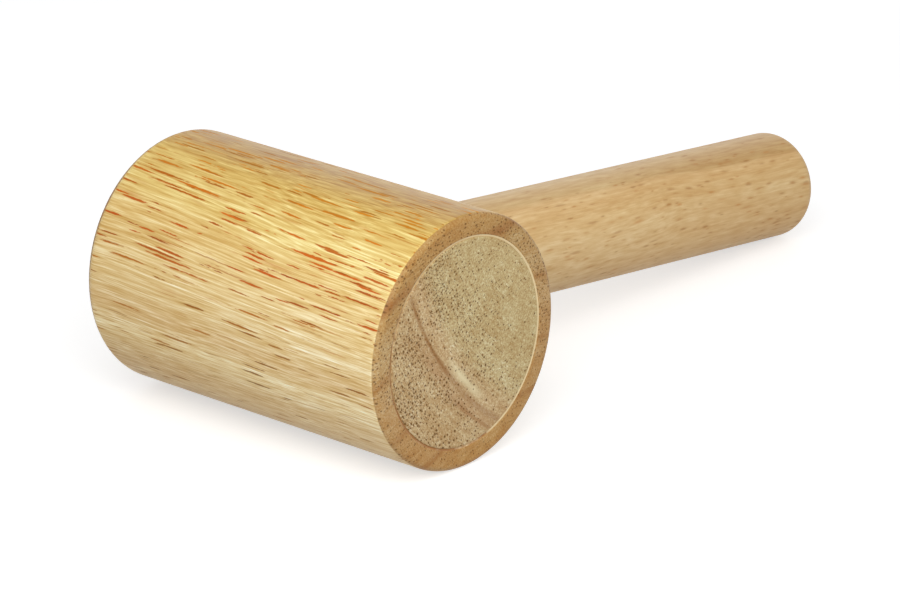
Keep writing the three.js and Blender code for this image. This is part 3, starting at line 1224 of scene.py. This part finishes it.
@dataclass
class GlueLines:
    """The thin rings of set glue that fill each disc's seam and the handle's, up over the eased edge."""

    axes: Axes
    shell: HeadShell
    handle_radius: float = 13.25 * MM
    disc_radius: float = 24.5 * MM
    below: float = 0.34 * MM
    top: float = 0.12 * MM
    spread: float = 0.6
    deep: float = 1.6 * MM
    steps: int = 8
    turns: int = 256

    def profile(self, inner: float, outer: float, ease: float) -> np.ndarray:
        """Gives a ring's closed section: a hollow fillet that climbs from the inner piece up the eased edge.

        The fillet's depth falls with the square of the share of its width that is left.

        Args:
            inner: The ring's inner radius.
            outer: The ring's outer radius in the seam.
            ease: Width of the eased edge that the fillet covers.

        Returns:
            Depths below the face that the ring is let into, and radii.
        """
        share = np.linspace(0, 1, self.steps)
        depth = self.top + (self.below - self.top) * (1 - share) ** 2
        face = np.stack([depth, inner + share * (outer + self.spread * ease - inner)], axis=1)
        return np.concatenate([face, [(ease, outer), (self.deep, outer), (self.deep, inner)]])

    def mouth(self, mouth: Mouth, material: bpy.types.Material) -> bpy.types.Object:
        """Fills the seam between one disc and its mouth.

        Args:
            mouth: Which mouth.
            material: The glue.

        Returns:
            The piece.
        """
        _, way, _ = mouth.value
        profile = self.profile(self.disc_radius, self.shell.mouth_radius, self.shell.mouth_ease)
        profile[:, 0] = way * (self.shell.half - profile[:, 0])
        piece = Patchwork.sewn(f"glue_line_{mouth.name.lower()}", self.axes.turned(profile, self.turns), True)
        return dress(piece, None, WOOD_BODY, material)

    def socket(self, material: bpy.types.Material) -> bpy.types.Object:
        """Fills the seam round the handle.

        Each point of the ring lies below the barrel's round outside, seen down the handle.

        Args:
            material: The glue.

        Returns:
            The piece.
        """
        profile = self.profile(self.handle_radius, self.shell.socket_radius, self.shell.socket_ease)
        flat = self.shell.circle(profile[:, 1:], 2 * math.pi * np.arange(self.turns) / self.turns)
        ring = self.shell.on_wall(flat, self.shell.radius, profile[:, :1])
        piece = Patchwork.sewn("glue_line_handle", ring, True)
        return dress(piece, None, WOOD_BODY, material)

    def build(self, finish: GlueFinish) -> list[bpy.types.Object]:
        """Makes the three rings and dresses them."""
        material = finish.material(self.axes)
        return [*(self.mouth(mouth, material) for mouth in Mouth), self.socket(material)]


@dataclass
class Handle:
    """The plain dowel, turned along its own length, with a rounded free end."""

    axes: Axes
    set_back: float = 2.0 * MM
    reach: float = 172.48 * MM
    foot: float = 17.485 * MM
    end_rounding: float = 4.0 * MM
    foot_rounding: float = 0.8 * MM
    turns: int = 192
    wood_shift: float = 12.0

    def build(self, finish: WoodFinish) -> bpy.types.Object:
        """Makes the dowel and dresses it.

        Args:
            finish: Its wood.

        Returns:
            The piece.
        """
        low, high = node_box("handle")
        radius = (high[0] - low[0]) / 2
        along = self.axes.about_handle(self.set_back)
        profile = outline((self.foot, 0.0), (
            Corner(self.foot, radius, 10, self.foot_rounding, 5),
            Corner(self.reach, radius, 130, self.end_rounding, 14),
            Corner(self.reach, 0.0, 10),
        ))
        piece = Patchwork.sewn("dowel_handle", along.turned(profile, self.turns))
        return dress(piece, "handle", WOOD_BODY, finish.material(along, self.wood_shift))


@dataclass
class LooseShot:
    """The loose steel balls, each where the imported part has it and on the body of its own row."""

    turns: int = 24
    rings: int = 14

    def ball(self, node: str, body: str, material: bpy.types.Material) -> bpy.types.Object:
        """Makes one ball.

        A point of it is the middle plus the radius times the cosine of its angle along the head and the
        sine of it round about.

        Args:
            node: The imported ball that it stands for.
            body: The row that it rolls with.
            material: Its finish.

        Returns:
            The piece.
        """
        low, high = node_box(node)
        radius = (high[2] - low[2]) / 2
        angle = np.linspace(0, math.pi, self.rings + 1)
        profile = radius * np.stack([-np.cos(angle), np.sin(angle)], axis=1)
        axes = Axes((low + high) / 2, *np.eye(3))
        piece = Patchwork.sewn(node.replace("shot_", "steel_"), axes.turned(profile, self.turns))
        return dress(piece, node, body, material)

    def build(self, finish: SteelFinish) -> list[bpy.types.Object]:
        """Makes every ball and dresses it.

        Args:
            finish: The steel.

        Returns:
            The pieces.
        """
        material = finish.material()
        bodies = frame["record"]["behaviour"]["bodies"]
        rows = {body: nodes for body, nodes in bodies.items() if body != WOOD_BODY}
        return [self.ball(node, body, material) for body, nodes in rows.items() for node in nodes]


@dataclass(frozen=True)
class SoftLamp:
    """A square soft box, placed by the way that it is seen from the object."""

    name: str
    azimuth_deg: float
    elevation_deg: float
    distance: float
    size: float
    power: float

    def build(self, target: Vector) -> None:
        """Makes the lamp.

        Args:
            target: The point that it is turned to.
        """
        light = bpy.data.lights.new(self.name, "AREA")
        light.energy = self.power
        light.size = self.size
        towards = seen_from(self.azimuth_deg, self.elevation_deg)
        lamp = linked(self.name, light)
        lamp.location = target + self.distance * towards
        lamp.rotation_euler = (-towards).to_track_quat("-Z", "Y").to_euler()


@dataclass(frozen=True)
class Studio:
    """A plain pale floor, soft lamps and the camera at the photograph's angle."""

    floor_half: float = 4.0
    floor_tone: str = "CDCDCD"
    floor_glow: float = 0.6
    sky_light: float = 0.42
    azimuth_deg: float = 42.24
    elevation_deg: float = 20.33
    roll_deg: float = 0.33
    distance: float = 1.1592
    lens_mm: float = 201.76
    sensor_mm: float = 36.0
    aim: tuple[float, float, float] = (0.02286, -0.05101, 0.02901)
    lamps: tuple[SoftLamp, ...] = (
        SoftLamp("key", 34.0, 38.0, 0.58, 0.4, 1.9),
        SoftLamp("fill", 78.0, 22.0, 0.95, 0.6, 2.1),
        SoftLamp("back", 215.0, 20.0, 0.9, 0.6, 1.1),
    )

    def seen_directly(self, sheet: NodeSheet) -> Socket:
        """Tells the rays by which something is seen from those that only light it.

        Args:
            sheet: The nodes to write in.

        Returns:
            1 for rays from the camera, from gloss and through glass, and 0 for the rest.
        """
        path = sheet.add("LightPath").outputs
        shiny = sheet.math("MAXIMUM", path["Is Glossy Ray"], path["Is Transmission Ray"])
        return sheet.math("MAXIMUM", path["Is Camera Ray"], shiny)

    def floor(self) -> None:
        """Lays the floor, which is white to the camera apart from the object's shadow."""
        side = self.floor_half
        mesh = bpy.data.meshes.new("studio_floor")
        corners = [(-side, -side, 0), (side, -side, 0), (side, side, 0), (-side, side, 0)]
        mesh.from_pydata(corners, [], [(0, 1, 2, 3)])
        sheet = NodeSheet.of_material("studio_floor")
        paint = sheet.add("BsdfDiffuse", {"Color": tone(self.floor_tone)})
        glow = sheet.add("Emission", {"Strength": sheet.times(self.seen_directly(sheet), self.floor_glow)})
        both = sheet.add("AddShader", (paint.outputs[0], glow.outputs[0]))
        sheet.add("OutputMaterial", {"Surface": both.outputs[0]})
        mesh.materials.append(sheet.owner)
        floor = linked("studio_floor", mesh)

    def world(self) -> None:
        """Gives a white surround that lights the object softly."""
        world = bpy.data.worlds.new("studio")
        bpy.context.scene.world = world
        sheet = NodeSheet(world)
        strength = sheet.step(self.seen_directly(sheet), 0.0, 1.0, self.sky_light, 1.0)
        sky = sheet.add("Background", {"Color": (1.0, 1.0, 1.0, 1.0), "Strength": strength})
        sheet.add("OutputWorld", {"Surface": sky.outputs[0]})

    def camera(self) -> None:
        """Sets the camera up where the photograph was taken."""
        data = bpy.data.cameras.new("camera")
        data.lens = self.lens_mm
        data.sensor_width = self.sensor_mm
        back = seen_from(self.azimuth_deg, self.elevation_deg)
        camera = linked("camera", data)
        camera.location = Vector(self.aim) + self.distance * back
        turn = (-back).to_track_quat("-Z", "Y").to_matrix()
        roll = Matrix.Rotation(math.radians(-self.roll_deg), 3, "Z")
        camera.rotation_euler = (turn @ roll).to_euler()
        bpy.context.scene.camera = camera

    def build(self) -> None:
        """Sets up the floor, the surround, the lamps and the camera."""
        bpy.context.scene.view_settings.view_transform = "Standard"
        self.floor()
        self.world()
        target = (CAD_BOX[0] + CAD_BOX[1]) / 2
        for lamp in self.lamps:
            lamp.build(target)
        self.camera()
        LOG.info("studio: %d lamps, camera at %.0f mm", len(self.lamps), self.distance / MM)


def main() -> None:
    """Builds each sub-assembly in turn, from the head to the studio."""
    logging.basicConfig(level=logging.INFO, format="%(name)s: %(message)s")
    axes = Axes.of_head()
    shell = HeadShell(axes)
    shell.build(BARREL_WOOD)
    for mouth in Mouth:
        EndCap(axes, mouth).build(CAP_WOOD)
    Handle(axes).build(HANDLE_WOOD)
    GlueLines(axes, shell).build(GlueFinish())
    LooseShot().build(SteelFinish())
    Studio().build()


if __name__ == "__main__":
    main()
